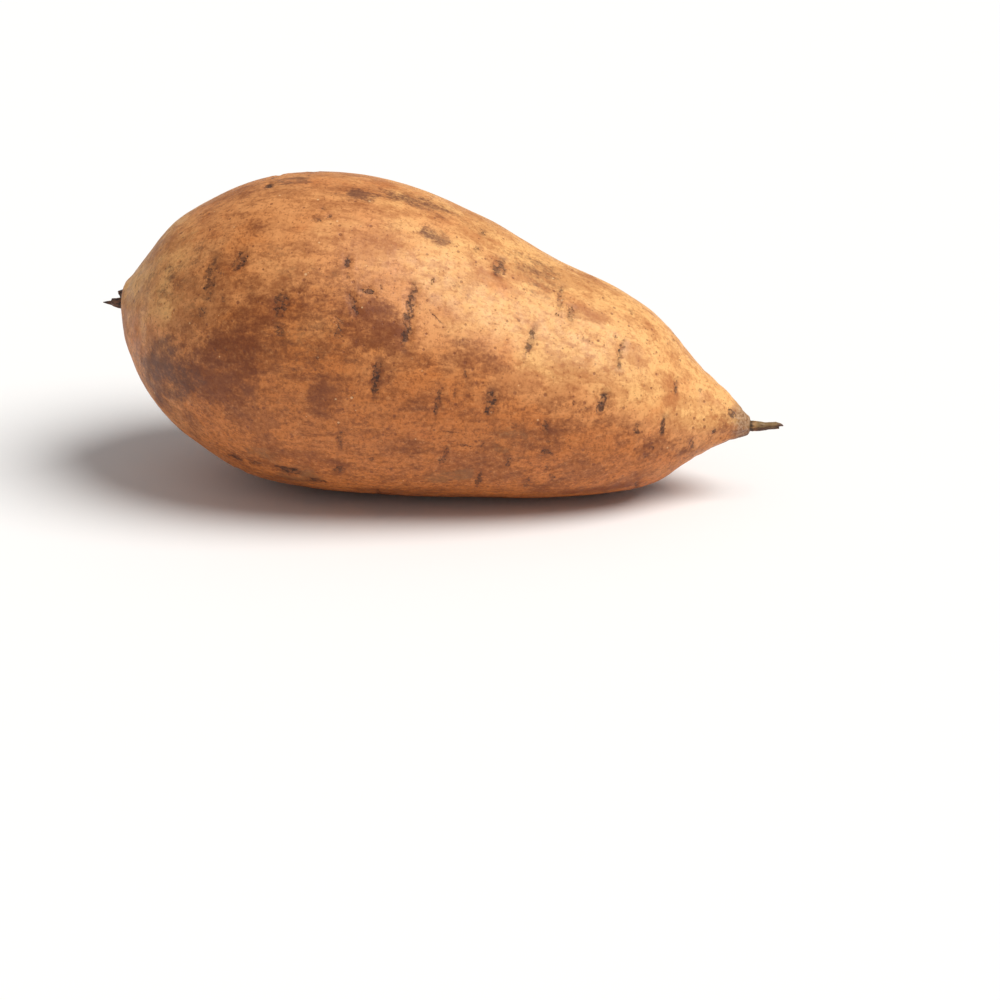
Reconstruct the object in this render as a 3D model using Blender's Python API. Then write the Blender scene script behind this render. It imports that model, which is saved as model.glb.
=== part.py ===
"""A whole sweet potato, lying on its belly.

The root grew as one piece, so it is one closed mesh: a blunt stalk end with the torn stub of
the stalk, a fat body that narrows to a neck, and the thin broken root tail. Metres, +Z up.
+X runs from the stalk end to the root tail. The origin is under the middle of the root, on
the surface that it rests on.
"""

import math

import bmesh
import bpy
from mathutils import Vector

# Sections of the root from end to end: place along X, height of the middle, half the height
# and half the width.
STALK_STUB = (
    (-0.0848, 0.0447, 0.0006, 0.0008),
    (-0.0822, 0.0446, 0.0014, 0.0017),
    (-0.0798, 0.0444, 0.0021, 0.0024),
)
BODY = (
    (-0.0790, 0.0435, 0.0052, 0.0055),
    (-0.0772, 0.0420, 0.0092, 0.0098),
    (-0.0730, 0.0409, 0.0164, 0.0174),
    (-0.0668, 0.0409, 0.0243, 0.0252),
    (-0.0582, 0.0405, 0.0305, 0.0317),
    (-0.0453, 0.0400, 0.0367, 0.0378),
    (-0.0279, 0.0396, 0.0391, 0.0408),
    (-0.0106, 0.0380, 0.0382, 0.0398),
    (0.0082, 0.0345, 0.0345, 0.0362),
    (0.0270, 0.0297, 0.0292, 0.0313),
    (0.0427, 0.0271, 0.0252, 0.0258),
    (0.0535, 0.0248, 0.0206, 0.0198),
    (0.0628, 0.0226, 0.0120, 0.0126),
    (0.0715, 0.0211, 0.0056, 0.0060),
)
ROOT_TAIL = (
    (0.0760, 0.0192, 0.0026, 0.0028),
    (0.0801, 0.0192, 0.0017, 0.0017),
    (0.0848, 0.0197, 0.0011, 0.0011),
)

NECK_SWING = 0.0025  # how far the tail leans towards +Y
NECK_SWING_START = 0.0100  # where along X that lean begins
BELLY_SINK = 0.0009  # how far the sections are lowered, to press the belly into a flat spot

# Shallow lobes round the body: how many, how deep as a share of the radius, their angle at the
# stalk end and how far they twist from end to end, in degrees.
LOBES = (
    (3, 0.008, 58.0, 70.0),
    (4, 0.006, 207.0, -60.0),
    (5, 0.005, 230.0, 90.0),
)

SIDES = 64  # points round each section
SECTION_SPACING = 0.0036  # about how far apart the sections of the mesh are, along the skin
SNAP = 0.0001  # points this near to the resting plane are moved onto it

SKIN_COLOUR = (0.62, 0.34, 0.15, 1.0)
SKIN_ROUGHNESS = 0.55


def clear_scene():
    """Remove every object, so that the model stands alone."""
    for obj in list(bpy.data.objects):
        bpy.data.objects.remove(obj)


def curve_point(before, start, end, after, amount):
    """Return the point at this amount between start and end, on a Catmull-Rom curve."""
    knots = [0.0]
    points = (before, start, end, after)
    for near, far in zip(points, points[1:]):
        knots.append(knots[-1] + math.sqrt((far - near).length))
    at = knots[1] + (knots[2] - knots[1]) * amount

    def blend(low, high, first, last):
        share = (at - knots[first]) / (knots[last] - knots[first])
        return low.lerp(high, share)

    low = blend(blend(before, start, 0, 1), blend(start, end, 1, 2), 0, 2)
    high = blend(blend(start, end, 1, 2), blend(end, after, 2, 3), 1, 3)
    return blend(low, high, 1, 2)


def smooth_sections(given):
    """Return the given sections with more between them, on one smooth curve."""
    points = [Vector(section) for section in given]
    first = points[0] * 2 - points[1]
    last = points[-1] * 2 - points[-2]
    padded = [first, *points, last]
    sections = []
    for before, start, end, after in zip(padded, padded[1:], padded[2:], padded[3:]):
        steps = max(1, round((end - start).length / SECTION_SPACING))
        for step in range(steps):
            sections.append(curve_point(before, start, end, after, step / steps))
    sections.append(points[-1])
    return sections


def swing(x):
    """Return how far the middle of the section at x leans towards +Y."""
    end = ROOT_TAIL[-1][0]
    share = max(0.0, (x - NECK_SWING_START) / (end - NECK_SWING_START))
    return NECK_SWING * share * share


def lobe_factor(angle, x):
    """Return the share by which the lobes raise or sink the skin at this angle and place."""
    start = BODY[0][0]
    end = BODY[-1][0]
    along = min(1.0, max(0.0, (x - start) / (end - start)))
    fade = math.sin(math.pi * along)
    factor = 1.0
    for count, depth, turn, twist in LOBES:
        factor += depth * fade * math.cos(count * angle + math.radians(turn + twist * along))
    return factor


def ring_points(section):
    """Return the points round one section."""
    x, middle, half_height, half_width = section
    points = []
    for side in range(SIDES):
        angle = 2 * math.pi * side / SIDES
        factor = lobe_factor(angle, x)
        y = swing(x) + half_width * factor * math.cos(angle)
        z = middle + half_height * factor * math.sin(angle) - BELLY_SINK
        points.append((x, y, z))
    return points


def loft(shape, sections):
    """Join the sections into one skin, with a flat cap on each of its two ends."""
    rings = []
    for section in sections:
        rings.append([shape.verts.new(point) for point in ring_points(section)])
    for ring, following in zip(rings, rings[1:]):
        for side in range(SIDES):
            after = (side + 1) % SIDES
            shape.faces.new((ring[side], ring[after], following[after], following[side]))
    shape.faces.new(reversed(rings[0]))
    shape.faces.new(rings[-1])


def cut_flat_spot(shape):
    """Cut the belly flat at the height of the surface that it rests on."""
    bmesh.ops.bisect_plane(
        shape,
        geom=[*shape.verts, *shape.edges, *shape.faces],
        dist=SNAP,
        plane_co=(0.0, 0.0, 0.0),
        plane_no=(0.0, 0.0, -1.0),
        clear_outer=True,
    )
    for corner in shape.verts:
        if abs(corner.co.z) < SNAP:
            corner.co.z = 0.0
    rim = [edge for edge in shape.edges if edge.is_boundary]
    bmesh.ops.holes_fill(shape, edges=rim)
    resting = [face for face in shape.faces if not any(corner.co.z for corner in face.verts)]
    bmesh.ops.dissolve_faces(shape, faces=resting)
    bmesh.ops.recalc_face_normals(shape, faces=shape.faces)


def centre_on_origin(shape):
    """Move the root sideways, so that the middle of its box is over the origin."""
    for axis in (0, 1):
        places = [corner.co[axis] for corner in shape.verts]
        middle = (min(places) + max(places)) / 2
        for corner in shape.verts:
            corner.co[axis] -= middle


def skin_material():
    """Return the plain apricot skin."""
    material = bpy.data.materials.new("skin")
    material.use_nodes = True
    shader = material.node_tree.nodes["Principled BSDF"]
    shader.inputs["Base Color"].default_value = SKIN_COLOUR
    shader.inputs["Roughness"].default_value = SKIN_ROUGHNESS
    return material


def make_sweet_potato():
    """Build the root, one closed mesh, and link it to the scene."""
    shape = bmesh.new()
    loft(shape, smooth_sections((*STALK_STUB, *BODY, *ROOT_TAIL)))
    cut_flat_spot(shape)
    centre_on_origin(shape)
    mesh = bpy.data.meshes.new("sweet_potato")
    shape.to_mesh(mesh)
    shape.free()
    mesh.shade_smooth()
    mesh.materials.append(skin_material())
    root = bpy.data.objects.new("sweet_potato", mesh)
    bpy.context.scene.collection.objects.link(root)


clear_scene()
make_sweet_potato()
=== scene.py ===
"""The looks of a whole sweet potato: its fine skin, marks, torn stalk stub and broken root tail.

The CAD solid gives the shape and the size. Here it is covered with a fine skin, one closed
mesh, whose rings are found by casting rays at the CAD solid from inside. Lengths are in
metres, or in millimetres where a name or a comment says so. +Z is up, and +X runs from the
stalk end to the root tail.

Marks on the skin are placed by how far along X they are, in millimetres, and by the angle
round the root, in degrees: 0 faces -Y, 90 is the top, 180 faces +Y and -90 is the belly.
"""

import math

import bpy
import numpy as np
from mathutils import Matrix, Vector
from mathutils.bvhtree import BVHTree


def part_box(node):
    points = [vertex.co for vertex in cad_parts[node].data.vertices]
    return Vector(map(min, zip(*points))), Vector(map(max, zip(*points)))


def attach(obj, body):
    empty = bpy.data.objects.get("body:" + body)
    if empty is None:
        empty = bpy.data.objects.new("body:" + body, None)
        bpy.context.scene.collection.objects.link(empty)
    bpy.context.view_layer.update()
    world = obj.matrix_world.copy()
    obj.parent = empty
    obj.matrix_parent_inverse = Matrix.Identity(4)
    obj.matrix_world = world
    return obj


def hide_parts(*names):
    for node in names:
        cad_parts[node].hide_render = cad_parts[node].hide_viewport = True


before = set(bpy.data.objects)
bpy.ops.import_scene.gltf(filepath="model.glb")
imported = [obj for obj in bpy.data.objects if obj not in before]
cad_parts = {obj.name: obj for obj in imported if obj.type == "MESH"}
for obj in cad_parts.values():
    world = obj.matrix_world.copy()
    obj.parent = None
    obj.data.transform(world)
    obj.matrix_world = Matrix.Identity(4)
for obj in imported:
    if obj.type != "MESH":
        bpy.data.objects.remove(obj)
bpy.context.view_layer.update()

MM = 0.001
NODE = "sweet_potato"
low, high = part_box(NODE)

# ---------------------------------------------------------------- the fine skin, in millimetres

AROUND = 320  # points round the body
COARSEST = 8  # the thinnest rings keep one point in this many
POINTS_APART = 0.45  # a ring drops every other point while they would still be closer than this
RINGS_APART = (0.26, 0.66)  # where it is thin, and where it is thick
SOFTENINGS = 22  # how often the facets of the CAD solid are smoothed
SHARP_FROM = 48.0  # degrees between two faces from which their edge is sharp
STUB_BASE = 5.1  # where the stub leaves the body, from the stalk end of the CAD solid
STUB_RISE = 1.1  # how far the stub is lifted above where the plainer CAD solid has it
TAIL_END = 1.9  # where the tail frays, from the other end

# Radius of the root tail, by how far it is from the end of the CAD solid.
TAIL_RADII = (
    (10.4, 3.65),
    (9.4, 2.7),
    (8.7, 2.1),
    (8.0, 1.5),
    (7.2, 1.32),
    (5.6, 1.2),
    (4.6, 1.0),
    (1.9, 0.92),
)

# Bumps of the skin: how high, how large along X, Y and Z, and the seed of their noise.
SKIN_BUMPS = (
    (0.30, (34.0, 34.0, 34.0), 3),
    (0.13, (15.0, 10.0, 10.0), 4),
    (0.055, (5.5, 4.0, 4.0), 5),
    (0.022, (1.9, 1.9, 1.9), 6),
    (0.05, (26.0, 3.2, 3.2), 7),
)
NECK_CREASES = ((64.5, 0.14), (68.5, 0.10), (71.5, 0.12))  # place along X, and depth

# Torn prongs that stand on the ends. Each starts from part of the last ring, from one share
# of the way round it to another, and goes through places given as along X, along Y and up
# from where it starts, with the share of its thickness that is left there.
LONG_PRONG = (
    (-1.2, 0.0, 0.1, 0.86),
    (-2.5, 0.1, 0.2, 0.7),
    (-2.9, 0.1, 0.1, 0.42),
    (-4.0, 0.1, 0.2, 0.25),
    (-5.1, 0.1, 0.3, 0.06),
)
SHORT_PRONG = ((-0.5, 0.0, 0.0, 0.66), (-1.2, -0.1, 0.1, 0.14))
BLUNT_PRONG = ((-0.5, 0.0, 0.1, 0.9), (-1.1, 0.0, 0.3, 0.6), (-1.6, 0.0, 0.5, 0.3))
STUB_PRONGS = ((0.80, 1.32, LONG_PRONG), (1.32, 1.64, SHORT_PRONG), (1.64, 1.80, BLUNT_PRONG))
TAIL_PRONGS = (
    (0.10, 0.42, ((0.5, 0.0, -0.1, 0.8), (1.1, -0.1, -0.1, 0.4))),
    (0.42, 0.78, ((0.6, 0.0, 0.05, 0.8), (1.3, 0.0, 0.0, 0.55), (1.9, 0.0, -0.25, 0.2))),
    (0.78, 1.10, ((0.4, 0.1, 0.0, 0.75), (0.9, 0.1, -0.1, 0.3))),
)

# ---------------------------------------------------------------- marks on the skin

# Scars where fine side roots grew, and nicks: place along X, angle, length round the root,
# width along it, lean in degrees that takes the lower end towards the stalk, and darkness.
SCARS = (
    (-9.5, 5, 10, 1.7, 7, 1.0),
    (-2.5, 30, 17, 2.2, 4, 0.85),
    (-18, 45, 3, 1.5, 0, 0.8),
    (-15.5, 30, 5.5, 1.6, -25, 0.9),
    (-12.5, 35.5, 1.5, 3.5, 0, 0.8),
    (-18.5, 21, 5, 2.2, 5, 0.35),
    (-33, 27, 6, 3.5, 0, 0.7),
    (-33, 18, 2.6, 2.6, 0, 0.6),
    (-44.5, 43.5, 6, 3.4, 20, 0.8),
    (-51.5, 37, 12, 2.8, 5, 0.7),
    (-53, 24, 4, 2, 20, 0.5),
    (-47.5, 28.5, 1.6, 1, 0, 0.6),
    (-18.5, -20, 6, 1.6, 0, 0.6),
    (-19.5, -35, 3, 3, 0, 0.7),
    (5, 0.5, 7.5, 1.4, 12, 0.7),
    (9, 5, 3, 0.9, 5, 0.5),
    (17, 4.5, 6.5, 2.4, 15, 0.95),
    (6, -22.5, 8, 1.4, 22, 0.5),
    (13.5, -36, 8, 1.3, 12, 0.7),
    (16.5, 67.5, 7.5, 2.4, 5, 0.75),
    (31, 68, 9, 1.6, 0, 0.55),
    (34, 58.5, 4.5, 1.7, 0, 0.55),
    (46.5, 45, 8.5, 1, 3, 0.75),
    (25.5, 36, 8, 1.3, 10, 0.8),
    (43, 13, 6, 2.2, 18, 0.95),
    (36.5, 11.5, 0.9, 0.6, 0, 1.0),
    (39.5, 9, 0.7, 2.6, 0, 0.5),
    (30, -2, 4, 1.5, 0, 0.7),
    (30, -15.5, 2.6, 2.4, 0, 0.7),
    (30.5, -9, 0.8, 0.8, 0, 0.8),
    (30.5, -24, 1.8, 1.4, 0, 0.4),
    (31, -31.5, 3, 1.5, 0, 0.6),
    (22.5, -3, 1.6, 2.6, 0, 0.45),
    (21, -22, 3.5, 1.4, 15, 0.6),
    (25, -35, 5, 1.2, 22, 0.7),
    (51, 0, 2.6, 1.4, 0, 0.85),
    (57, 2.5, 5, 1.3, 6, 0.85),
    (54.5, -15, 1.6, 1, 0, 0.6),
    (53, -22, 1.6, 1.2, 20, 0.4),
    (68.5, -9, 1.4, 0.7, 0, 0.8),
    (63.5, -23, 3.2, 0.8, 0, 0.7),
    (59.5, 40, 4.2, 0.8, 0, 0.7),
    (65, 52, 1.2, 0.5, 0, 0.5),
    (47.5, 82, 1.4, 1, 0, 0.5),
    (57.5, 92, 1.2, 0.7, 0, 0.6),
    (11, 85.5, 4, 1.8, 5, 0.5),
    (10.5, 71, 2.4, 1.2, 20, 0.5),
    (-26, 68, 1.8, 1.2, 0, 0.6),
    (-27, 61.5, 1, 2.6, 0, 0.6),
    (-24, 64, 1.5, 1.2, 0, 0.6),
    (-41.5, 85.5, 2.6, 2.2, 0, 1.0),
    (-23.5, 10, 0.9, 0.9, 0, 0.7),
    (-29, 5, 0.7, 2.6, 0, 0.6),
    (-46, -42, 3, 4, 0, 1.0),
    (-41.5, -41, 3, 4, 0, 0.7),
    (-33, -40, 3, 6, 0, 0.95),
    (-26.5, -45, 2.5, 5, 0, 0.95),
    (-46.5, -29, 1.6, 1.4, 0, 0.4),
    (-37, -22, 1, 1, 0, 0.8),
    (2, 46.5, 2, 0.8, 20, 0.4),
    (45, 54, 0.8, 0.7, 0, 0.8),
    (38, 45, 0.7, 2.2, 0, 0.5),
    (11, 14, 2, 0.8, -15, 0.5),
    (31, 54.5, 1.2, 1.0, 0, 0.4),
    (-17.5, 39.5, 1.2, 1.2, 0, 0.5),
    (-9.5, 38, 1.4, 0.9, 0, 0.5),
    (-11.5, -28, 1.2, 1.2, 0, 0.6),
    (8, -11, 0.4, 4.5, 0, 0.5),
    (10.5, -16.5, 0.4, 6.5, 0, 0.5),
    (15, -15, 4, 0.4, 30, 0.6),
    (4, 32, 3.2, 0.4, -55, 0.8),
    (72.5, 40, 2.5, 1.6, 20, 0.8),
)

# Stains: place along X, angle, half their length along X, half their height round the root,
# lean in degrees, darkness, and softness of the edge.
BROWN_STAINS = (
    (-45, 4, 10, 9, 0, 0.85, 0.25),
    (-53, -2, 9, 8, 10, 0.8, 0.5),
    (-20, -32, 3, 3, 0, 0.6, 0.6),
    (-20, 8, 9, 7, 0, 0.4, 0.5),
    (-12, 86, 12, 4, -15, 0.55, 0.6),
    (-38, 14, 8, 3, 0, 0.6, 0.5),
    (-38, 24, 7, 4.5, 0, 0.8, 0.35),
    (-10, 26, 8.5, 7, 0, 0.92, 0.3),
    (-22, 29, 12, 6, 0, 0.65, 0.7),
    (12, 22, 7.5, 4.5, 0, 0.6, 0.3),
    (-22, -4, 5, 4.5, 0, 0.8, 0.5),
    (-7, 68, 8, 4, 0, 0.35, 0.7),
    (10, 48, 4, 3, 0, 0.3, 0.7),
    (50, -24, 6, 5, 0, 0.3, 0.8),
    (71, 5, 2.5, 5, 0, 0.5, 0.8),
    # These two, low on the belly, are partly real stains and partly painted contact shadow.
    (40, -50, 9, 3, 0, 0.95, 0.5),
    (-5, -52, 14, 4, 0, 0.6, 0.6),
)
PURPLE_STAINS = (
    (-63, -11, 8, 10, 20, 0.85, 0.6),
    (-17, 79, 3, 3, 0, 0.85, 0.45),
    (-9, 85, 8, 3, -20, 0.6, 0.6),
    (0, 88, 9, 5, 0, 0.5, 0.5),
    (-21.5, 76, 3, 2.5, 0, 0.45, 0.6),
    (24, 78, 6.5, 7, 0, 0.6, 0.5),
    (1, 68, 3.5, 3, 0, 0.75, 0.5),
    (-37, 88, 6, 3, 0, 0.75, 0.5),
    (-62, 36, 2.5, 7, 0, 0.5, 0.7),
    (-56, 51, 1.5, 3, 0, 0.5, 0.6),
    (-19.5, 81, 2, 2, 0, 0.6, 0.5),
    # The last one is painted shade: a dark band under the collar on the belly.
    (72, -80, 5, 3, 0, 1.0, 0.5),
)
DUST_STAINS = (
    (-57, 42, 11, 13, 0, 0.35, 0.5),
    (20, -10, 6, 5, 0, 0.4, 0.7),
    (-38, -32, 5, 2, 0, 0.6, 0.6),
    (8, -33, 5, 3, 0, 0.75, 0.6),
    (3, -37, 3, 2, 0, 0.6, 0.6),
    (-30, -42, 5, 5, 0, 0.75, 0.6),
    (-30, 35, 14, 12, 0, 0.3, 0.8),
    (-20, 12, 14, 9, 0, 0.3, 0.8),
)

# What the seeded draws add to the sides that those lists leave out.
RANDOM_SEED = 12
RANDOM_SCARS = 62
RANDOM_STAINS = (9, 7, 9)  # brown, purple and dust

# ---------------------------------------------------------------- camera, floor and light

CAMERA_TURN = 8.0  # degrees from the front, towards the root tail
CAMERA_LIFT = 22.0  # degrees above level
CAMERA_AIM = (14.6, -4.57)  # where it aims, to the right of the origin and up, in millimetres
LENS = 144.0  # in millimetres, on a sensor 36 mm wide, from a metre away
FLOOR_REACH = 4.0  # metres each way
FLOOR_GREY = 0.93
KEY_FROM = (0.55, -0.1, 0.83)  # the way that the key light comes from
KEY_STRENGTH = 3.1
KEY_SOFTNESS = 40.0  # degrees across
KEY_COLOUR = (1.0, 0.98, 0.95)
SURROUND_STRENGTH = 0.3


def clamp(value, least, most):
    """Return the value, kept between two limits."""
    return np.minimum(np.maximum(value, least), most)


def smooth_step(value, start, end):
    """Return 0 before start, 1 after end and a smooth rise between them."""
    share = clamp((value - start) / (end - start), 0.0, 1.0)
    return share * share * (3.0 - 2.0 * share)


# ---------------------------------------------------------------- noise


def lattice_values(cells, seed):
    """Return a random value from -1 to 1 for each cell of an endless lattice."""
    mixed = cells[..., 0] * 73856093 ^ cells[..., 1] * 19349663 ^ cells[..., 2] * 83492791
    mixed = (mixed + seed * 2654435761) & 0xFFFFFFFF
    for shift in (15, 13):
        mixed = ((mixed ^ (mixed >> shift)) * 739940573) & 0xFFFFFFFF
    return (mixed ^ (mixed >> 16)) / 0x7FFFFFFF - 1.0


def noise(points, size, seed):
    """Return smooth noise from -1 to 1, with lumps this many millimetres large."""
    places = points / (np.asarray(size) * MM)
    cells = np.floor(places).astype(np.int64)
    share = places - cells
    share = share * share * share * (share * (share * 6.0 - 15.0) + 10.0)
    total = 0.0
    for corner in np.ndindex(2, 2, 2):
        weight = np.prod(np.where(corner, share, 1.0 - share), axis=-1)
        total = total + weight * lattice_values(cells + np.array(corner), seed)
    return total


# ---------------------------------------------------------------- base shape


def reach(tree, start, direction):
    """Return how far the solid's skin is from a point inside it."""
    place = tree.ray_cast(start, direction)[0]
    if place is None:
        return 0.0
    return (place - start).length


def section_middle(tree, x, guess):
    """Return the middle of the section at x, and its mean radius, from a point near it."""
    start = Vector((x, guess[0], guess[1]))
    up = reach(tree, start, Vector((0, 0, 1)))
    down = reach(tree, start, Vector((0, 0, -1)))
    back = reach(tree, start, Vector((0, 1, 0)))
    front = reach(tree, start, Vector((0, -1, 0)))
    middle = (guess[0] + (back - front) / 2, guess[1] + (up - down) / 2)
    return middle, (up + down + back + front) / 4


def walk_sections(tree, step):
    """Return (x, middle y, middle z, radius) rows from one end of the root to the other."""
    sides = []
    for last in (low.x + STUB_BASE * MM, high.x - TAIL_END * MM):
        guess = (0.0, high.z / 2)
        side = []
        count = round(abs(last) / step)
        for i in range(count + 1):
            x = last * i / count
            guess, radius = section_middle(tree, x, guess)
            side.append((x, guess[0], guess[1], radius))
        sides.append(side)
    return np.array(sides[0][::-1] + sides[1][1:])


def ring_rows(sections):
    """Return the sections at which rings are made: evenly along the skin, closer where thin."""
    x, radius = sections[:, 0], sections[:, 3]
    slant = np.hypot(np.diff(x), np.diff(radius))
    thick = smooth_step(radius[1:], 2 * MM, 14 * MM)
    spacing = (RINGS_APART[0] + (RINGS_APART[1] - RINGS_APART[0]) * thick) * MM
    rings_before = np.concatenate([[0.0], np.cumsum(slant / spacing)])
    wanted = np.linspace(0.0, rings_before[-1], round(rings_before[-1]) + 1)
    return np.stack([np.interp(wanted, rings_before, column) for column in sections.T], axis=1)


def ring_angles():
    """Return the angles round a ring, from the belly up past the front, the top and the back."""
    return -math.pi / 2 + 2 * math.pi * np.arange(AROUND) / AROUND


def cast_rings(tree, rows):
    """Return how far the skin is from the middle of each ring, at each angle round it."""
    radii = np.empty((len(rows), AROUND))
    ways = [Vector((0.0, -math.cos(angle), math.sin(angle))) for angle in ring_angles()]
    for i, (x, y, z, _) in enumerate(rows):
        start = Vector((x, y, z))
        for j, way in enumerate(ways):
            radii[i, j] = reach(tree, start, way)
    return radii


def soften(radii, rows):
    """Smooth away the flat facets of the CAD solid, less where the root is thin."""
    amount = 0.5 * smooth_step(rows[:, 3], 2 * MM, 20 * MM)[:, None]
    for _ in range(SOFTENINGS):
        around = (np.roll(radii, 1, axis=1) + np.roll(radii, -1, axis=1)) / 2
        radii = radii + amount * (around - radii)
        along = radii.copy()
        along[1:-1] = (radii[2:] + radii[:-2]) / 2
        radii = radii + amount * (along - radii)
    return radii


def thin_the_tail(radii, rows):
    """Give the root tail its own thickness, which the plainer CAD solid rounds up."""
    places = [high.x - place * MM for place, _ in TAIL_RADII]
    wanted = np.interp(rows[:, 0], places, [radius * MM for _, radius in TAIL_RADII])
    share = np.where(rows[:, 0] > places[0], wanted / radii.mean(axis=1), 1.0)
    return radii * share[:, None]


def ring_points(rows, radii):
    """Return the points of all rings, as rings by points round them by x, y, z."""
    angles = ring_angles()
    points = np.empty((*radii.shape, 3))
    points[..., 0] = rows[:, 0:1]
    points[..., 1] = rows[:, 1:2] - radii * np.cos(angles)
    points[..., 2] = rows[:, 2:3] + radii * np.sin(angles)
    return points


def outward(points):
    """Return the unit vectors that point out of the skin."""
    along = np.gradient(points, axis=0)
    around = np.roll(points, -1, axis=1) - np.roll(points, 1, axis=1)
    normals = np.cross(along, around)
    return normals / np.linalg.norm(normals, axis=-1, keepdims=True)


# ---------------------------------------------------------------- where the marks are


class Places:
    """Where each point of the skin is: along X in millimetres, the angle and the radius."""

    def __init__(self, points, rows):
        self.points = points
        self.x = points[..., 0] / MM
        self.angle = np.broadcast_to(np.degrees(ring_angles()), self.x.shape)
        self.radius = np.broadcast_to(rows[:, 3:4] / MM, self.x.shape)

    def away(self, x, angle, lean):
        """Return how far each point is from a mark, across its lean and along it, in mm."""
        along = self.x - x
        turn = (self.angle - angle + 180.0) % 360.0 - 180.0
        around = np.radians(turn) * self.radius
        tilt = math.radians(lean)
        across = along * math.cos(tilt) - around * math.sin(tilt)
        return across, along * math.sin(tilt) + around * math.cos(tilt)


def random_scars(random):
    """Return scars for the back and the belly, of the same kinds as on the front."""
    scars = []
    for _ in range(RANDOM_SCARS):
        x = random.uniform(-66, 66)
        angle = random.uniform(102, 308)
        length = random.choice((0.9, 1.6, 3, 5, 8, 12))
        width = random.uniform(0.7, 1.8)
        scars.append((x, angle, length, width, random.normal(6, 9), random.uniform(0.4, 0.95)))
    return scars


def random_stains(random, count):
    """Return stains for the back and the belly."""
    stains = []
    for _ in range(count):
        x = random.uniform(-64, 55)
        angle = random.uniform(108, 300)
        half_length = random.uniform(3, 11)
        half_height = random.uniform(2, 8)
        lean = random.normal(0, 15)
        darkness = random.uniform(0.4, 0.95)
        softness = random.uniform(0.3, 0.7)
        stains.append((x, angle, half_length, half_height, lean, darkness, softness))
    return stains


def scar_fields(places, scars):
    """Return each point's place in its nearest scar, that scar's size, and its dents."""
    shape = places.x.shape
    nearest = np.full(shape, 1e9)
    second = np.full(shape, 1e9)
    place = np.zeros((*shape, 3))
    size = np.ones((*shape, 3))
    lift = np.zeros(shape)
    for number, (x, angle, length, width, lean, darkness) in enumerate(scars):
        across, along = places.away(x, angle, lean)
        beside = np.maximum(np.abs(across) - width / 2, 0.0)
        beyond = np.maximum(np.abs(along) - length / 2, 0.0)
        gap = np.hypot(beside, beyond)
        inner = gap < nearest
        second = np.where(inner, nearest, np.minimum(second, gap))
        nearest = np.where(inner, gap, nearest)
        found = np.stack([across, along, np.full(shape, number * 0.37 % 1.0)], axis=-1)
        place = np.where(inner[..., None], found, place)
        fade = darkness * (1.0 - smooth_step(gap, 0.9, 1.9))
        halves = np.stack([np.full(shape, width / 2), np.full(shape, length / 2), fade], axis=-1)
        size = np.where(inner[..., None], halves, size)
        deep = 0.2 * darkness * min(1.0, width / 1.2)
        lift += 0.4 * deep * np.exp(-(((gap - 0.8) / 0.5) ** 2))
        lift -= deep * (1.0 - smooth_step(gap, 0.0, 0.8))
    size[..., 2] *= smooth_step(second - nearest, 0.6, 1.5)
    return place, size, lift


def stain_field(places, stains, seed):
    """Return how stained each point is, from 0 to 1."""
    ragged = 0.3 * noise(places.points, 7.0, seed) + 0.22 * noise(places.points, 3.0, seed + 1)
    ragged = ragged + 0.12 * noise(places.points, 1.3, seed + 2)
    clean = np.ones(places.x.shape)
    for x, angle, half_length, half_height, lean, darkness, softness in stains:
        across, along = places.away(x, angle, lean)
        distance = np.hypot(across / half_length, along / half_height) + ragged
        clean *= 1.0 - darkness * (1.0 - smooth_step(distance, 1.0 - softness, 1.0 + softness))
    return 1.0 - clean


# ---------------------------------------------------------------- relief


def body_relief(places):
    """Return the bumps of the skin, and the folds that run into the stub."""
    points, x, angle = places.points, places.x, np.radians(places.angle)
    body = smooth_step(places.radius, 2.0, 12.0)
    lift = np.zeros(x.shape)
    for height, size, seed in SKIN_BUMPS:
        lift += body * height * noise(points, size, seed)
    to_stub = 1.0 - smooth_step(x, -79.4, -66.0)
    folds = np.cos(15.0 * angle + 2.0 * noise(points, 9.0, 9))
    return lift + 0.10 * to_stub * folds * body


def neck_relief(places):
    """Return the folds and the creases of the neck, before the root tail."""
    points, x, angle = places.points, places.x, np.radians(places.angle)
    to_tail = smooth_step(x, 58.0, 72.0) * (1.0 - smooth_step(x, 76.0, 77.0))
    lift = 0.16 * to_tail * np.cos(9.0 * angle + 1.6 * noise(points, 7.0, 8))
    for place, depth in NECK_CREASES:
        wave = x - place - 0.9 * noise(points, 9.0, int(place))
        lift -= depth * np.exp(-((wave / 0.7) ** 2))
    return lift


def end_relief(places):
    """Return the rough collar, the fissure after it, and the fibres of the tail and the stub."""
    points, x = places.points, places.x
    collar = smooth_step(x, 73.0, 75.2) * (1.0 - smooth_step(x, 76.4, 76.9))
    lift = collar * (0.22 * noise(points, 1.1, 10) + 0.16 * noise(points, 2.6, 11))
    lift += 0.1 * np.exp(-(((x - 75.7) / 0.45) ** 2)) - 0.2 * np.exp(-(((x - 76.8) / 0.3) ** 2))
    tail = smooth_step(x, 76.6, 77.4)
    lift += tail * (0.10 * noise(points, (3.5, 0.6, 0.6), 12) + 0.06 * noise(points, 0.7, 13))
    stub = 1.0 - smooth_step(x, -79.6, -79.1)
    return lift + stub * 0.12 * noise(points, 0.9, 14)


def relief(places, scar_lift):
    """Return how far each point of the skin stands out, in millimetres."""
    return body_relief(places) + neck_relief(places) + end_relief(places) + scar_lift


# ---------------------------------------------------------------- mesh


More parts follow.
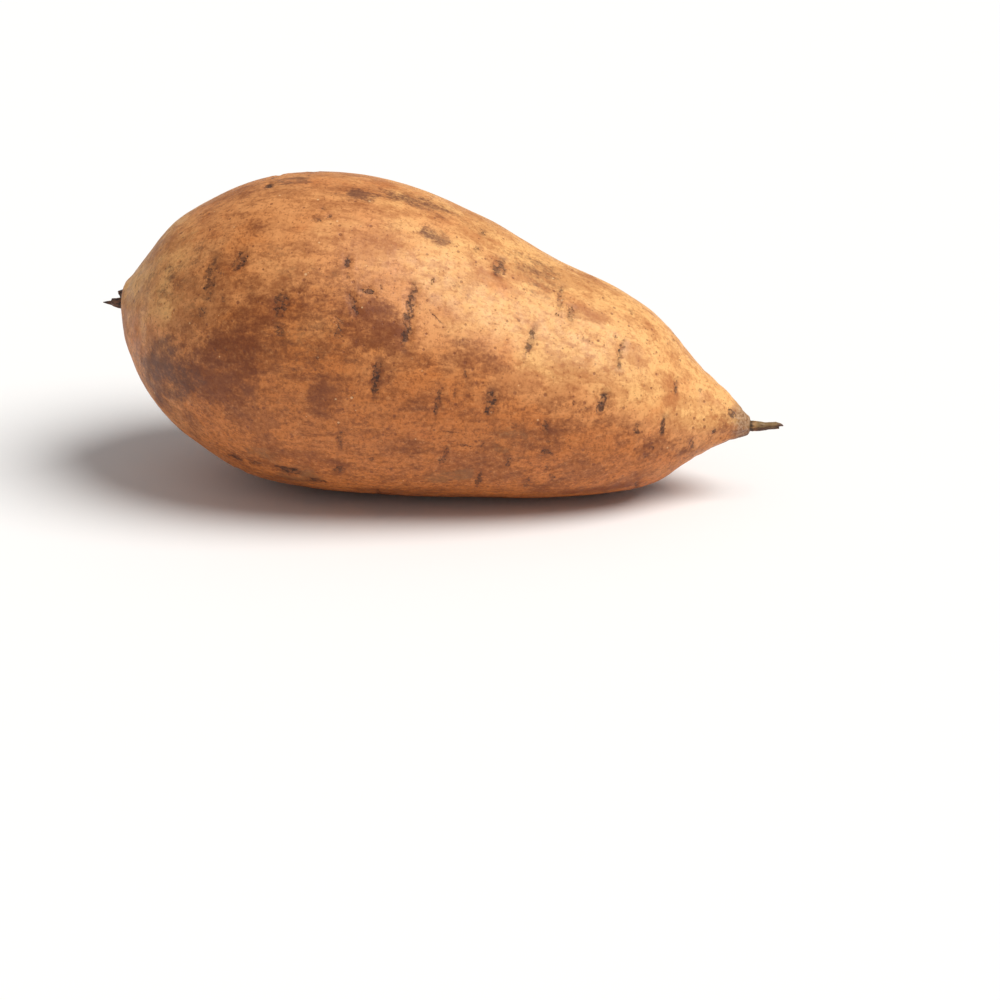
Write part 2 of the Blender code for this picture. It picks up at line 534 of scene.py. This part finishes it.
class Growth:
    """A mesh that grows ring by ring, with its baking map and its point traits."""

    def __init__(self):
        self.corners = []
        self.traits = {"scar_place": [], "scar_size": [], "stains": [], "ends": [], "tone_and_painted_shade": []}
        self.faces = []
        self.face_maps = []

    def add_ring(self, points, traits):
        """Add points, with traits that are one vector each or one for all, and number them."""
        first = len(self.corners)
        self.corners.extend(np.asarray(points).tolist())
        for name, kept in self.traits.items():
            kept.extend(np.broadcast_to(traits[name], (len(points), 3)).tolist())
        return list(range(first, len(self.corners)))

    def add_face(self, face, face_map):
        """Add one face, with the place of each of its corners on the baking map."""
        self.faces.append(face)
        self.face_maps.append(face_map)

    def join_alike(self, first, second, v_first, v_second):
        """Join two rings with as many points as each other."""
        for j in range(len(first)):
            k = (j + 1) % len(first)
            u, u_next = j / len(first), (j + 1) / len(first)
            face = (first[j], second[j], second[k], first[k])
            self.add_face(face, ((u, v_first), (u, v_second), (u_next, v_second), (u_next, v_first)))

    def join_halved(self, wide, narrow, v_wide, v_narrow, forward):
        """Join a ring to one with half as many points, which comes after it where forward."""
        for j in range(len(narrow)):
            k = (j + 1) % len(narrow)
            one, two, three = wide[2 * j], wide[2 * j + 1], wide[(2 * j + 2) % len(wide)]
            start, end = j / len(narrow), (j + 1) / len(narrow)
            middle = (start + end) / 2
            fan = (
                ((one, narrow[j], two), ((start, v_wide), (start, v_narrow), (middle, v_wide))),
                ((two, narrow[j], narrow[k]), ((middle, v_wide), (start, v_narrow), (end, v_narrow))),
                ((two, narrow[k], three), ((middle, v_wide), (end, v_narrow), (end, v_wide))),
            )
            for face, face_map in fan:
                order = 1 if forward else -1
                self.add_face(face[::order], face_map[::order])

    def join(self, first, second, v_first, v_second):
        """Join two rings, of which one may have twice as many points as the other."""
        if len(first) == len(second):
            self.join_alike(first, second, v_first, v_second)
        elif len(first) > len(second):
            self.join_halved(first, second, v_first, v_second, True)
        else:
            self.join_halved(second, first, v_second, v_first, False)

    def sprout(self, loop, way, traits, strip):
        """Grow a prong from a loop of points, which runs anticlockwise as seen from its tip."""
        base = np.array([self.corners[i] for i in loop])
        middle = base.mean(axis=0)
        u_low, u_high, v_low, v_high = strip
        previous, v_previous = loop, v_low
        for number, (x, y, z, share) in enumerate(way):
            ring = middle + np.array((x, y, z)) * MM + (base - middle) * share
            ring = ring + 0.12 * MM * share * noise(ring, 0.5, 40 + number)[:, None]
            following = self.add_ring(ring, traits)
            v = v_low + (v_high - v_low) * (number + 1) / (len(way) + 1)
            for j in range(len(loop)):
                k = (j + 1) % len(loop)
                u = u_low + (u_high - u_low) * j / len(loop)
                u_next = u_low + (u_high - u_low) * (j + 1) / len(loop)
                face = (previous[j], previous[k], following[k], following[j])
                self.add_face(face, ((u, v_previous), (u_next, v_previous), (u_next, v), (u, v)))
            previous, v_previous = following, v
        turns = [2 * math.pi * j / len(loop) for j in range(len(loop))]
        wide, tall = (u_high - u_low) / 8, (v_high - v_previous) / 2
        cap = [(u_low + wide * (1 + math.cos(t)), v_previous + tall * (1 + math.sin(t))) for t in turns]
        self.add_face(tuple(previous), cap)

    def tear(self, ring, prongs, middle_out, traits, v_low, v_high):
        """Split a last ring into parts that meet in its middle, and grow a prong from each."""
        centre = np.mean([self.corners[i] for i in ring], axis=0) + np.array((middle_out * MM, 0, 0))
        hub = self.add_ring([centre], traits)[0]
        for number, (start, end, way) in enumerate(prongs):
            first, last = round(start * len(ring)), round(end * len(ring))
            loop = [ring[i % len(ring)] for i in range(first, last + 1)] + [hub]
            u_low, u_high = number / len(prongs), (number + 0.95) / len(prongs)
            self.sprout(loop, way, traits, (u_low, u_high, v_low, v_high))

    def finish(self, name):
        """Return the grown mesh as an object."""
        mesh = bpy.data.meshes.new(name)
        mesh.from_pydata(self.corners, [], self.faces)
        baking_map = mesh.uv_layers.new(name="OFBake")
        flat = [place for face_map in self.face_maps for place in face_map]
        baking_map.data.foreach_set("uv", np.array(flat, dtype=np.float32).ravel())
        for trait, values in self.traits.items():
            kept = mesh.attributes.new(trait, "FLOAT_VECTOR", "POINT")
            kept.data.foreach_set("vector", np.array(values, dtype=np.float32).ravel())
        mesh.shade_smooth()
        mesh.set_sharp_from_angle(angle=math.radians(SHARP_FROM))
        made = bpy.data.objects.new(name, mesh)
        bpy.context.scene.collection.objects.link(made)
        return made


def ring_step(radius):
    """Return one in how many points a ring of this radius keeps."""
    step = 1
    while step < COARSEST and 2 * math.pi * radius / MM * 2 * step / AROUND < POINTS_APART:
        step *= 2
    return step


def skin_traits(places):
    """Return what the skin's material reads at each point, and the dents of the scars."""
    random = np.random.default_rng(RANDOM_SEED)
    scar_place, scar_size, scar_lift = scar_fields(places, [*SCARS, *random_scars(random)])
    fields = []
    for number, stains in enumerate((BROWN_STAINS, PURPLE_STAINS, DUST_STAINS)):
        every = [*stains, *random_stains(random, RANDOM_STAINS[number])]
        fields.append(stain_field(places, every, 20 + 5 * number))
    x = places.x
    height = np.sin(np.radians(places.angle))
    to_right = smooth_step(x, -55.0, 50.0)
    to_ends = smooth_step(np.abs(x + 2.0), 42.0, 70.0)
    # Depth is partly the skin's own tone, paler towards both ends, and partly painted shade: the skin
    # is painted darker towards the belly and paler towards the top, the more so towards the root tail.
    depth = 1.25 - 0.62 * smooth_step(height, -0.45, 0.95) - 0.6 * to_ends
    depth = depth - 0.8 * to_right * smooth_step(height + 0.4 * to_right, 0.05, 1.1)
    streaky = 1.0 - smooth_step(x, -76.0, -40.0)
    stub = 1.0 - smooth_step(x, -79.5, -78.8)
    tail = smooth_step(x, 76.0, 79.0)
    collar = smooth_step(x, 71.5, 75.0) * (1.0 - smooth_step(x, 76.6, 77.2))
    # scar_place holds across, along and a seed; scar_size holds half widths and the darkness; the last
    # trait holds the depth with its painted shade, how streaky the skin is, and the height, from which
    # the tail is painted lighter on top.
    traits = {
        "scar_place": scar_place,
        "scar_size": scar_size,
        "stains": np.stack(fields, axis=-1),
        "ends": np.stack((stub, tail, collar), axis=-1),
        "tone_and_painted_shade": np.stack((depth, streaky, height), axis=-1),
    }
    return traits, scar_lift


def make_skin():
    """Make the whole outside of the root."""
    tree = BVHTree.FromObject(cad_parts[NODE], bpy.context.evaluated_depsgraph_get())
    rows = ring_rows(walk_sections(tree, 0.2 * MM))
    radii = thin_the_tail(soften(cast_rings(tree, rows), rows), rows)
    points = ring_points(rows, radii)
    places = Places(points, rows)
    traits, scar_lift = skin_traits(places)

    # The relief fades out near the floor, so that the flat spot stays flat.
    free = smooth_step(points[..., 2], 0.1 * MM, 3.0 * MM)
    points = points + outward(points) * (relief(places, scar_lift) * free * MM)[..., None]
    points[..., 2] = np.maximum(points[..., 2], 0.0)
    points[..., 2] += STUB_RISE * MM * (1.0 - smooth_step(places.x, -79.6, -76.5))

    growth = Growth()
    rings = []
    for i, radius in enumerate(rows[:, 3]):
        step = ring_step(radius)
        kept = {name: values[i, ::step] for name, values in traits.items()}
        rings.append(growth.add_ring(points[i, ::step], kept))
    v_of = np.linspace(0.04, 0.96, len(rings))
    for i in range(len(rings) - 1):
        growth.join(rings[i], rings[i + 1], v_of[i], v_of[i + 1])
    clean = {"scar_place": (0, 0, 0), "scar_size": (1, 1, 0), "stains": (0, 0, 0), "tone_and_painted_shade": (1, 0, 0)}
    growth.tear(rings[0], STUB_PRONGS, -0.3, {**clean, "ends": (1, 0, 0)}, 0.005, 0.035)
    growth.tear(rings[-1][::-1], TAIL_PRONGS, 0.2, {**clean, "ends": (0, 1, 0)}, 0.965, 0.995)
    return growth.finish("sweet_potato_skin")


# ---------------------------------------------------------------- materials


class Shading:
    """Adds a material's nodes. Each method returns the socket that its node ends in."""

    def __init__(self, name):
        self.material = bpy.data.materials.new(name)
        self.material.use_nodes = True
        self.tree = self.material.node_tree
        self.shader = self.tree.nodes["Principled BSDF"]

    def feed(self, socket, value):
        """Link a socket into another, or set the other to a number, vector or colour."""
        if isinstance(value, bpy.types.NodeSocket):
            self.tree.links.new(value, socket)
        else:
            socket.default_value = value

    def node(self, kind, inputs, **settings):
        """Add a node with these settings and inputs."""
        made = self.tree.nodes.new("ShaderNode" + kind)
        for name, value in settings.items():
            setattr(made, name, value)
        for name, value in inputs.items():
            self.feed(made.inputs[name], value)
        return made

    def maths(self, operation, first, second=0.0):
        """Work out one value from one or two others."""
        return self.node("Math", {0: first, 1: second}, operation=operation).outputs[0]

    def add(self, first, second):
        """Add two values."""
        return self.maths("ADD", first, second)

    def times(self, first, second):
        """Multiply two values."""
        return self.maths("MULTIPLY", first, second)

    def rise(self, value, start, end, low=0.0, high=1.0):
        """Map a value smoothly, from low at start to high at end."""
        inputs = {"Value": value, "From Min": start, "From Max": end, "To Min": low, "To Max": high}
        return self.node("MapRange", inputs, interpolation_type="SMOOTHSTEP").outputs[0]

    def mix(self, share, first, second):
        """Mix two colours."""
        return self.node("Mix", {0: share, 6: first, 7: second}, data_type="RGBA").outputs[2]

    def attribute(self, name):
        """Read one of the traits that the mesh carries at its points."""
        return self.node("Attribute", {}, attribute_name=name).outputs["Vector"]

    def split(self, vector):
        """Split a vector into its three values."""
        return self.node("SeparateXYZ", {0: vector}).outputs

    def place(self):
        """Return where a point is on the object."""
        return self.node("TexCoord", {}).outputs["Object"]

    def moved(self, place, scale, offset=(0.0, 0.0, 0.0)):
        """Return a place with each axis stretched, and moved."""
        inputs = {0: place, 1: scale, 2: offset}
        return self.node("VectorMath", inputs, operation="MULTIPLY_ADD").outputs[0]

    def noise(self, place, size, detail=2.0, roughness=0.5):
        """Return noise from 0 to 1, with lumps this many millimetres large."""
        inputs = {"Vector": place, "Scale": 1.0 / (size * MM), "Detail": detail, "Roughness": roughness}
        return self.node("TexNoise", inputs).outputs[0]

    def specks(self, place, spacing, radius, share):
        """Return small dots this many millimetres apart, of which only a share are kept."""
        cells = self.node("TexVoronoi", {"Vector": place, "Scale": 1.0 / (spacing * MM)})
        chance = self.node("SeparateColor", {0: cells.outputs["Color"]}).outputs
        size = self.rise(chance[0], 0.0, 1.0, 0.4 * radius / spacing, radius / spacing)
        dot = self.rise(self.maths("DIVIDE", cells.outputs["Distance"], size), 0.55, 1.0, 1.0, 0.0)
        return self.times(dot, self.maths("GREATER_THAN", share, chance[1]))


def srgb(red, green, blue):
    """Return the linear colour of these screen values from 0 to 255."""
    return tuple((value / 255) ** 2.2 for value in (red, green, blue)) + (1.0,)


# The pale, apricot and deep colours, and the two film colours, are laid by depth: partly the skin's own
# tones, partly painted light on the top and painted shade on the belly.
PALE = srgb(241, 182, 114)
APRICOT = srgb(224, 151, 92)
DEEP_AND_SHADED = srgb(200, 118, 58)
ROSY = srgb(204, 116, 56)
FILM_ON_PALE = srgb(170, 100, 52)
FILM_ON_DEEP = srgb(114, 58, 26)
RUST = srgb(114, 56, 25)
PLUM = srgb(102, 62, 44)
OLIVE = srgb(134, 92, 58)
SCAR = srgb(98, 56, 36)
SCAR_DARK = srgb(38, 22, 16)
FRECKLE = srgb(116, 60, 34)
FLECK = srgb(255, 214, 160)
STUB_BROWN = srgb(106, 66, 42)
STUB_BLACK = srgb(26, 18, 14)
TAIL_TAN = srgb(134, 106, 70)
TAIL_BROWN = srgb(84, 54, 38)
COLLAR_GREY = srgb(150, 126, 108)


def base_colours(s, place):
    """Return the unstained skin: pale, apricot and rosy areas under a broken, darker film, with painted
    shade that deepens them towards the belly.
    """
    depth, streaky, _ = s.split(s.attribute("tone_and_painted_shade"))
    wide = s.noise(place, 30.0, 3.0, 0.55)
    patchy = s.noise(s.moved(place, (0.7, 1, 1), (0.2, 0.5, 0.1)), 8.0, 5.0, 0.62)
    depth = s.add(depth, s.times(s.maths("SUBTRACT", wide, 0.5), 0.7))
    depth = s.add(depth, s.times(s.maths("SUBTRACT", patchy, 0.5), 1.1))
    # Depth here is partly the skin's own patches and partly painted shade towards the belly.
    colour = s.mix(s.rise(depth, 0.0, 0.55), PALE, APRICOT)
    colour = s.mix(s.rise(depth, 0.45, 1.1), colour, DEEP_AND_SHADED)
    rosy = s.noise(s.moved(place, (0.6, 1, 1), (3.1, 1.7, 0.4)), 14.0, 5.0, 0.65)
    colour = s.mix(s.rise(rosy, 0.5, 0.7, 0.0, 0.6), colour, ROSY)
    # The film is painted darker where that painted shade is deeper.
    shaded = s.rise(depth, 0.2, 0.9)
    film_colour = s.mix(shaded, FILM_ON_PALE, FILM_ON_DEEP)
    film = s.noise(s.moved(place, (0.5, 1, 1), (1.1, 0.7, 2.4)), 6.0, 6.0, 0.7)
    colour = s.mix(s.rise(film, 0.47, 0.7, 0.0, 0.75), colour, film_colour)
    peeling = s.noise(s.moved(place, (0.6, 1, 1), (4.1, 2.7, 0.4)), 11.0, 8.0, 0.68)
    colour = s.mix(s.rise(peeling, 0.52, 0.55, 0.0, 0.38), colour, film_colour)
    along = s.noise(s.moved(place, (0.18, 1, 1)), 1.8, 4.0, 0.7)
    colour = s.mix(s.rise(along, 0.48, 0.7, 0.0, 0.5), colour, film_colour)
    around = s.noise(s.moved(place, (1, 0.16, 0.16)), 1.3, 4.0, 0.65)
    most = s.rise(streaky, 0.0, 1.0, 0.15, 0.4)
    colour = s.mix(s.times(s.rise(around, 0.48, 0.7), most), colour, film_colour)
    crackle = s.noise(s.moved(place, (0.5, 1, 1), (7.3, 1.1, 0.8)), 2.4, 8.0, 0.8)
    crackled = s.times(s.rise(crackle, 0.55, 0.61), s.rise(shaded, 0.0, 1.0, 0.3, 0.5))
    colour = s.mix(crackled, colour, film_colour)
    fine = s.noise(place, 1.0, 5.0, 0.75)
    colour = s.mix(s.rise(fine, 0.48, 0.66, 0.0, 0.6), colour, film_colour)
    return s.mix(s.rise(fine, 0.49, 0.3, 0.0, 0.5), colour, APRICOT)


def cover(s, rough_edge, amount, start, end, most):
    """Return how much a stain covers, with an edge and an inside broken up by noise."""
    raised = s.add(amount, s.times(s.maths("SUBTRACT", rough_edge, 0.65), 2.4))
    present = s.rise(amount, 0.02, 0.25)
    return s.times(s.rise(raised, start, end, 0.0, most), present)


def stained(s, place, colour):
    """Return the colour with dust, brown and plum stains laid over it."""
    brown, plum, dust = s.split(s.attribute("stains"))
    mottle = s.noise(s.moved(place, (0.5, 1, 1)), 3.0, 6.0, 0.7)
    grain = s.noise(place, 0.7, 3.0, 0.6)
    rough_edge = s.add(s.times(mottle, 0.9), s.times(grain, 0.4))
    colour = s.mix(cover(s, rough_edge, dust, 0.2, 0.95, 0.65), colour, OLIVE)
    colour = s.mix(cover(s, rough_edge, brown, 0.2, 1.15, 0.8), colour, RUST)
    return s.mix(cover(s, rough_edge, plum, 0.2, 1.1, 0.8), colour, PLUM)


def scar_masks(s, place):
    """Return how much scar shows at each point, how dark it is there, and the halo round it."""
    across, along, seed = s.split(s.attribute("scar_place"))
    half_width, half_length, darkness = s.split(s.attribute("scar_size"))
    wobble = s.noise(place, 1.2, 2.0, 0.6)
    wobble_more = s.noise(s.moved(place, (1, 1, 1), (5.0, 2.0, 7.0)), 0.9, 2.0, 0.6)
    across = s.add(across, s.times(s.maths("SUBTRACT", wobble, 0.5), 1.3))
    along = s.add(along, s.times(s.maths("SUBTRACT", wobble_more, 0.5), 1.6))
    uneven = s.noise(s.moved(place, (1, 1, 1), (8.0, 3.0, 1.0)), 1.7, 3.0, 0.7)
    wide = s.maths("DIVIDE", across, s.times(half_width, s.rise(uneven, 0.36, 0.62, 0.4, 1.3)))
    long = s.maths("DIVIDE", along, half_length)
    wide_power = s.maths("POWER", s.maths("ABSOLUTE", wide), 2.6)
    long_power = s.maths("POWER", s.maths("ABSOLUTE", long), 2.6)
    distance = s.maths("POWER", s.add(wide_power, long_power), 0.38)
    inside = s.rise(distance, 0.8, 1.15, 1.0, 0.0)
    halo = s.rise(distance, 0.9, 2.4, 1.0, 0.0)

    rung = s.maths("FRACT", s.add(s.times(along, 0.72), seed))
    rung = s.times(s.maths("ABSOLUTE", s.maths("SUBTRACT", rung, 0.5)), 2.0)
    ring = s.maths("SQRT", s.add(s.times(wide, wide), s.times(rung, rung)))
    edge = s.rise(s.maths("ABSOLUTE", s.maths("SUBTRACT", ring, 0.72)), 0.05, 0.42, 1.0, 0.0)
    grit = s.rise(s.noise(place, 0.55, 3.0, 0.65), 0.4, 0.6)
    clump = s.rise(s.noise(s.moved(place, (1, 1, 1), (2.0, 9.0, 4.0)), 1.5, 2.0, 0.6), 0.38, 0.58)
    dark = s.maths("MAXIMUM", s.times(edge, 0.9), s.times(grit, s.rise(darkness, 0.4, 1.0)))
    fill = s.times(s.rise(darkness, 0.3, 1.0, 0.15, 0.85), s.rise(clump, 0.0, 1.0, 0.2, 1.0))
    dots = s.times(s.times(edge, grit), s.rise(clump, 0.0, 1.0, 0.35, 1.0))
    shown = s.times(s.times(inside, s.maths("MAXIMUM", fill, dots)), s.rise(darkness, 0.0, 0.4))
    return shown, dark, s.times(halo, darkness)


def specked(s, place, colour):
    """Return the colour with freckles and pale flecks on it, and where the freckles are."""
    freckles = s.specks(place, 2.3, 0.55, 0.7)
    tiny = s.specks(s.moved(place, (1, 1, 1), (0.3, 0.1, 0.2)), 1.1, 0.3, 0.6)
    flecks = s.specks(s.moved(place, (1, 1, 1), (0.7, 0.4, 0.9)), 3.1, 0.4, 0.3)
    colour = s.mix(s.times(freckles, 0.6), colour, FRECKLE)
    colour = s.mix(s.times(tiny, 0.5), colour, FRECKLE)
    return s.mix(s.times(flecks, 0.45), colour, FLECK), freckles


def with_ends(s, place, colour):
    """Return the colour with the grey collar, the tail, painted lighter on top, its dark fissure and
    the stub on it.
    """
    stub, tail, collar = s.split(s.attribute("ends"))
    fibres = s.noise(s.moved(place, (0.15, 1, 1)), 0.5, 3.0, 0.6)
    grey = s.mix(s.rise(s.noise(place, 0.8, 3.0, 0.7), 0.4, 0.62), COLLAR_GREY, TAIL_BROWN)
    colour = s.mix(s.times(collar, 0.75), colour, grey)
    # The tail's upper side is painted lighter: a painted highlight, mixed with its fibres.
    height = s.split(s.attribute("tone_and_painted_shade"))[2]
    lit_side = s.rise(s.add(fibres, s.times(height, 0.35)), 0.38, 0.68)
    colour = s.mix(tail, colour, s.mix(lit_side, TAIL_BROWN, TAIL_TAN))
    torn = s.add(tail, s.times(s.maths("SUBTRACT", fibres, 0.5), 1.4))
    fissure = s.times(s.rise(tail, 0.05, 0.25), s.rise(torn, 0.85, 0.2))
    colour = s.mix(s.times(fissure, 0.9), colour, STUB_BLACK)
    return s.mix(stub, colour, s.mix(s.rise(fibres, 0.35, 0.6), STUB_BLACK, STUB_BROWN))


def leathery(s, place, scar, dark, freckles):
    """Return the normals of the finest bumps, into which scars and freckles are sunk."""
    leather = s.noise(place, 0.8, 4.0, 0.65)
    ripples = s.noise(s.moved(place, (1, 0.25, 0.25)), 1.3, 3.0, 0.6)
    height = s.add(s.times(leather, 0.6), s.times(ripples, 0.5))
    height = s.add(height, s.times(scar, s.times(dark, -0.9)))
    height = s.add(height, s.times(freckles, -0.5))
    return s.node("Bump", {"Strength": 0.6, "Distance": 0.22 * MM, "Height": height}).outputs[0]


def skin_material():
    """Return the material of the whole root."""
    s = Shading("skin")
    place = s.place()
    colour = stained(s, place, base_colours(s, place))
    colour, freckles = specked(s, place, colour)
    scar, dark, halo = scar_masks(s, place)
    colour = s.mix(s.times(halo, 0.35), colour, RUST)
    colour = s.mix(scar, colour, s.mix(dark, SCAR, SCAR_DARK))
    s.feed(s.shader.inputs["Base Color"], with_ends(s, place, colour))
    sheen = s.noise(place, 3.0, 4.0, 0.6)
    s.feed(s.shader.inputs["Roughness"], s.rise(sheen, 0.3, 0.7, 0.44, 0.62))
    s.shader.inputs["Specular IOR Level"].default_value = 0.4
    s.feed(s.shader.inputs["Normal"], leathery(s, place, scar, dark, freckles))
    return s.material


def floor_material():
    """Return the plain pale floor."""
    s = Shading("pale_floor")
    s.shader.inputs["Base Color"].default_value = (FLOOR_GREY, FLOOR_GREY, FLOOR_GREY, 1.0)
    s.shader.inputs["Roughness"].default_value = 0.9
    s.shader.inputs["Specular IOR Level"].default_value = 0.2
    return s.material


# ---------------------------------------------------------------- stage


def make_floor():
    """Lay the plain pale floor."""
    mesh = bpy.data.meshes.new("floor")
    signs = ((-1, -1), (1, -1), (1, 1), (-1, 1))
    corners = [(x * FLOOR_REACH, y * FLOOR_REACH, 0) for x, y in signs]
    mesh.from_pydata(corners, [], [(0, 1, 2, 3)])
    mesh.materials.append(floor_material())
    floor = bpy.data.objects.new("floor", mesh)
    bpy.context.scene.collection.objects.link(floor)


def make_camera():
    """Place the camera in front, a little towards the root tail and looking down."""
    turn, lift = math.radians(CAMERA_TURN), math.radians(CAMERA_LIFT)
    level = Vector((math.sin(turn), -math.cos(turn), 0.0))
    back = level * math.cos(lift) + Vector((0.0, 0.0, math.sin(lift)))
    right = Vector((math.cos(turn), math.sin(turn), 0.0))
    aim = CAMERA_AIM[0] * MM * right + CAMERA_AIM[1] * MM * back.cross(right)
    data = bpy.data.cameras.new("camera")
    data.sensor_width = 36.0
    data.lens = LENS
    camera = bpy.data.objects.new("camera", data)
    camera.location = aim + back
    camera.rotation_euler = back.to_track_quat("Z", "Y").to_euler()
    bpy.context.scene.collection.objects.link(camera)
    bpy.context.scene.camera = camera


def make_key_light():
    """Light everything from the upper right, with soft shadows."""
    data = bpy.data.lights.new("key", "SUN")
    data.energy = KEY_STRENGTH
    data.angle = math.radians(KEY_SOFTNESS)
    data.color = KEY_COLOUR
    light = bpy.data.objects.new("key", data)
    light.rotation_euler = Vector(KEY_FROM).to_track_quat("Z", "Y").to_euler()
    bpy.context.scene.collection.objects.link(light)


def make_surround():
    """Fill the shadows from a pale surround, and show colours as they are."""
    world = bpy.data.worlds.new("surround")
    world.use_nodes = True
    background = world.node_tree.nodes["Background"]
    background.inputs["Color"].default_value = (1.0, 1.0, 1.0, 1.0)
    background.inputs["Strength"].default_value = SURROUND_STRENGTH
    bpy.context.scene.world = world
    bpy.context.scene.view_settings.view_transform = "Standard"


make_camera()
make_key_light()
make_surround()
make_floor()
skin = make_skin()
skin.data.materials.append(skin_material())
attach(skin, "root")
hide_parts(NODE)
